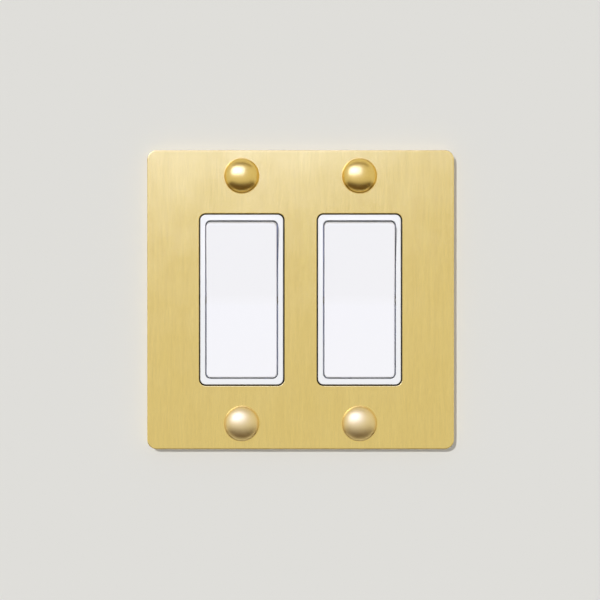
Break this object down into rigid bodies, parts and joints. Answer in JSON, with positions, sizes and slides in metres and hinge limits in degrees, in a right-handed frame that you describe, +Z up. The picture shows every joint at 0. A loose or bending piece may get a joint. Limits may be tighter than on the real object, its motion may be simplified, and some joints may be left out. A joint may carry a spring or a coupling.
{
  "type": "two-gang rocker light switch",
  "caption": "Square brushed-brass wall plate with domed screws and wide white rocker switches side by side; each rocker swings and works a sprung contact behind the wall.",
  "frame": {"origin": "centre of the wall plate's back face, in the wall's plane", "axes": "+Y into the wall, +X to the right and +Z up as seen from the room"},
  "size_m": [0.12, 0.0348, 0.117],
  "materials": {
    "brushed_brass": "vertically brushed",
    "dome_brass": "polished",
    "white_plastic": "satin gloss",
    "strap_steel": "zinc plated",
    "nylon": "matte",
    "spring_steel": "bright",
    "contact_brass": "stamped",
    "contact_silver": "satin",
    "terminal_screw_brass": "bright",
    "green_screw": "dyed green",
    "screw_steel": "zinc plated",
    "housing_plastic": "matte moulded",
    "fibre": "red fibre"
  },
  "bodies": {
    "fixed": {"wall_plate": "brushed_brass", "dome_screws": "dome_brass", "box_screws": "screw_steel", "box_screw_washers": "fibre", "left_strap": "strap_steel", "left_bezel": "white_plastic", "left_common_terminal": "contact_brass", "left_fixed_terminal": "contact_brass", "left_fixed_contact_tip": "contact_silver", "left_terminal_screws": "terminal_screw_brass", "left_ground_screw": "green_screw", "left_housing_screws": "screw_steel", "left_housing": "housing_plastic", "right_strap": "strap_steel", "right_bezel": "white_plastic", "right_common_terminal": "contact_brass", "right_fixed_terminal": "contact_brass", "right_fixed_contact_tip": "contact_silver", "right_terminal_screws": "terminal_screw_brass", "right_ground_screw": "green_screw", "right_housing_screws": "screw_steel", "right_housing": "housing_plastic"},
    "left_rocker_body": {"left_rocker": "white_plastic", "left_plunger_spring": "spring_steel"},
    "left_plunger_body": {"left_plunger": "nylon"},
    "left_contact_body": {"left_rocking_contact": "contact_brass", "left_moving_contact_tip": "contact_silver"},
    "right_rocker_body": {"right_rocker": "white_plastic", "right_plunger_spring": "spring_steel"},
    "right_plunger_body": {"right_plunger": "nylon"},
    "right_contact_body": {"right_rocking_contact": "contact_brass", "right_moving_contact_tip": "contact_silver"}
  },
  "joints": [
    {"name": "left_rocker_swing", "type": "hinge", "parent": "fixed", "child": "left_rocker_body", "pos_m": [-0.02302, -0.0034, 0], "axis": [-1, 0, 0], "range_deg": [0, 8]},
    {"name": "left_contact_rock", "type": "hinge", "parent": "fixed", "child": "left_contact_body", "pos_m": [-0.02302, 0.0129, 0], "axis": [1, 0, 0], "range_deg": [0, 16]},
    {"name": "left_plunger_slide", "type": "slide", "parent": "left_rocker_body", "child": "left_plunger_body", "axis": [0, -0.9976, -0.0698], "range_m": [0, 0.0012], "stiffness_N_per_m": 800, "springref_m": -0.002, "deforming": ["left_plunger_spring"]},
    {"name": "right_rocker_swing", "type": "hinge", "parent": "fixed", "child": "right_rocker_body", "pos_m": [0.02302, -0.0034, 0], "axis": [-1, 0, 0], "range_deg": [0, 8]},
    {"name": "right_contact_rock", "type": "hinge", "parent": "fixed", "child": "right_contact_body", "pos_m": [0.02302, 0.0129, 0], "axis": [1, 0, 0], "range_deg": [0, 16]},
    {"name": "right_plunger_slide", "type": "slide", "parent": "right_rocker_body", "child": "right_plunger_body", "axis": [0, -0.9976, -0.0698], "range_m": [0, 0.0012], "stiffness_N_per_m": 800, "springref_m": -0.002, "deforming": ["right_plunger_spring"]}
  ],
  "couplings": [
    {"joint": "left_contact_rock", "follows": "left_rocker_swing", "ratio": 2},
    {"joint": "right_contact_rock", "follows": "right_rocker_swing", "ratio": 2}
  ]
}
